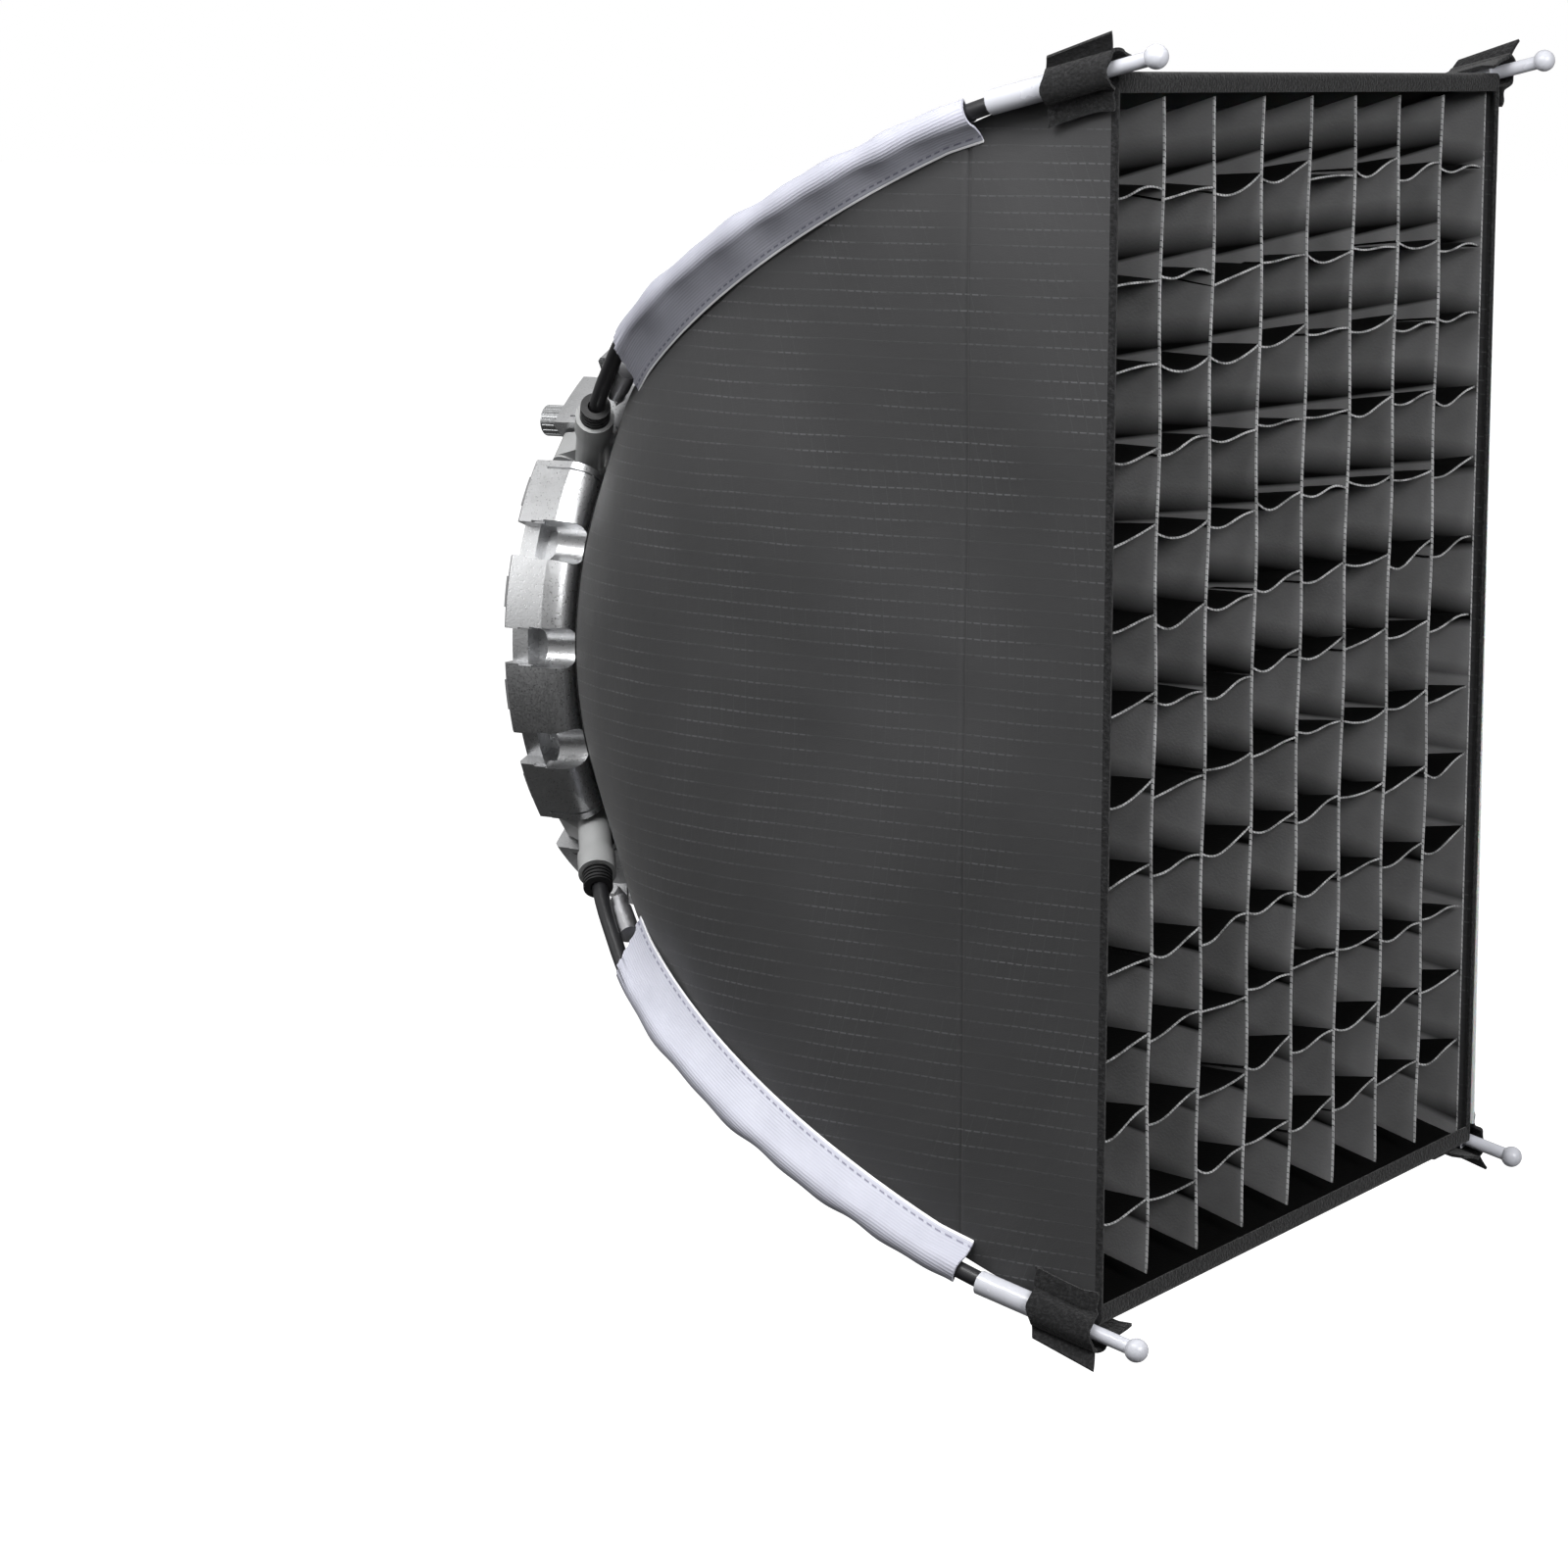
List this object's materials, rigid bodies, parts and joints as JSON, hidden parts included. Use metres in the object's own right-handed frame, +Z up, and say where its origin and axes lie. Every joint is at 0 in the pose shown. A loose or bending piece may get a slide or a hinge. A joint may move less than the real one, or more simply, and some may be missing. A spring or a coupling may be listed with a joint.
{
  "type": "softbox",
  "caption": "Folding rectangular softbox: sprung rods in a cast lug ring carry a black cloth pyramid with a white diffuser, an egg-crate cloth grid and a three-lug bayonet insert.",
  "frame": {"origin": "on the light axis, in the plane of the seat that meets the lamp", "axes": "+X along the light axis out of the front, +Y to the left seen from the lamp, +Z up along the tall side of the front"},
  "size_m": [0.2984, 0.3158, 0.415],
  "materials": {
    "insert_metal": "machined and satin anodised",
    "screw_steel": "black oxide",
    "cast_metal": "cast, fine bead-blasted, slightly worn edges",
    "pin_steel": "ground",
    "spring_steel": "bare wire",
    "clip_metal": "die cast, satin",
    "knob_metal": "turned and knurled",
    "trim_cloth": "woven webbing, matt",
    "elastic": "elastic webbing",
    "diffuser_cloth": "white translucent polyester",
    "grid_cloth": "black cloth strips with stitched pale edges",
    "box_cloth": "black ripstop polyester, silvered inside",
    "socket_plastic": "moulded, light grey",
    "grommet_rubber": "moulded black",
    "rod_steel": "black coated spring steel",
    "tip_plastic": "translucent pale grey",
    "sleeve_cloth": "grey ribbed cloth with white piping"
  },
  "bodies": {
    "mount": {"bayonet_insert": "insert_metal", "insert_retainer": "insert_metal", "retainer_screws": "screw_steel"},
    "ring": {"ring_body": "cast_metal", "ring_cover": "cast_metal", "cover_screws": "screw_steel", "hinge_pins": "pin_steel", "fold_springs": "spring_steel", "right_cloth": "box_cloth", "left_cloth": "box_cloth", "top_cloth": "box_cloth", "bottom_cloth": "box_cloth", "rear_hem": "trim_cloth", "front_binding": "trim_cloth", "inner_baffle": "diffuser_cloth", "baffle_tabs": "elastic", "pull_tab": "trim_cloth"},
    "lock": {"lock_knob": "knob_metal", "lock_screw": "screw_steel"},
    "diffuser": {"front_diffuser": "diffuser_cloth"},
    "grid": {"egg_crate_grid": "grid_cloth"},
    "rib_right_top": {"rib_socket_right_top": "socket_plastic", "rod_grommet_right_top": "grommet_rubber", "rib_rod_right_top": "rod_steel", "rib_tip_right_top": "tip_plastic", "rod_sleeve_right_top": "sleeve_cloth", "corner_strap_right_top": "trim_cloth", "seam_clip_right_top": "clip_metal"},
    "rib_right_bottom": {"rib_socket_right_bottom": "socket_plastic", "rod_grommet_right_bottom": "grommet_rubber", "rib_rod_right_bottom": "rod_steel", "rib_tip_right_bottom": "tip_plastic", "rod_sleeve_right_bottom": "sleeve_cloth", "corner_strap_right_bottom": "trim_cloth", "seam_clip_right_bottom": "clip_metal"},
    "rib_left_top": {"rib_socket_left_top": "socket_plastic", "rod_grommet_left_top": "grommet_rubber", "rib_rod_left_top": "rod_steel", "rib_tip_left_top": "tip_plastic", "rod_sleeve_left_top": "sleeve_cloth", "corner_strap_left_top": "trim_cloth", "seam_clip_left_top": "clip_metal"},
    "rib_left_bottom": {"rib_socket_left_bottom": "socket_plastic", "rod_grommet_left_bottom": "grommet_rubber", "rib_rod_left_bottom": "rod_steel", "rib_tip_left_bottom": "tip_plastic", "rod_sleeve_left_bottom": "sleeve_cloth", "corner_strap_left_bottom": "trim_cloth", "seam_clip_left_bottom": "clip_metal"}
  },
  "joints": [
    {"name": "ring_turn", "type": "hinge", "parent": "mount", "child": "ring", "pos_m": [0.01, 0, 0], "axis": [1, 0, 0], "continuous": true},
    {"name": "lock_knob_turn", "type": "hinge", "parent": "ring", "child": "lock", "pos_m": [0.01, -0.06364, 0.07584], "axis": [1, 0, 0], "range_deg": [0, 720]},
    {"name": "rib_fold_right_top", "type": "hinge", "parent": "ring", "child": "rib_right_top", "pos_m": [0.01, -0.0766, 0.06428], "axis": [0, 0.6428, 0.766], "range_deg": [0, 33], "deforming": ["right_cloth", "left_cloth", "top_cloth", "bottom_cloth", "front_binding", "inner_baffle", "baffle_tabs", "pull_tab", "front_diffuser", "egg_crate_grid"]},
    {"name": "rib_fold_right_bottom", "type": "hinge", "parent": "ring", "child": "rib_right_bottom", "pos_m": [0.01, -0.0766, -0.06428], "axis": [0, -0.6428, 0.766], "range_deg": [0, 33]},
    {"name": "rib_fold_left_top", "type": "hinge", "parent": "ring", "child": "rib_left_top", "pos_m": [0.01, 0.0766, 0.06428], "axis": [0, 0.6428, -0.766], "range_deg": [0, 33]},
    {"name": "rib_fold_left_bottom", "type": "hinge", "parent": "ring", "child": "rib_left_bottom", "pos_m": [0.01, 0.0766, -0.06428], "axis": [0, -0.6428, -0.766], "range_deg": [0, 33]},
    {"name": "diffuser_pull", "type": "slide", "parent": "ring", "child": "diffuser", "axis": [1, 0, 0], "range_m": [0, 0.06]},
    {"name": "grid_pull", "type": "slide", "parent": "diffuser", "child": "grid", "axis": [1, 0, 0], "range_m": [0, 0.06]}
  ],
  "couplings": [
    {"joint": "rib_fold_right_bottom", "follows": "rib_fold_right_top", "ratio": 1},
    {"joint": "rib_fold_left_top", "follows": "rib_fold_right_top", "ratio": 1},
    {"joint": "rib_fold_left_bottom", "follows": "rib_fold_right_top", "ratio": 1}
  ]
}
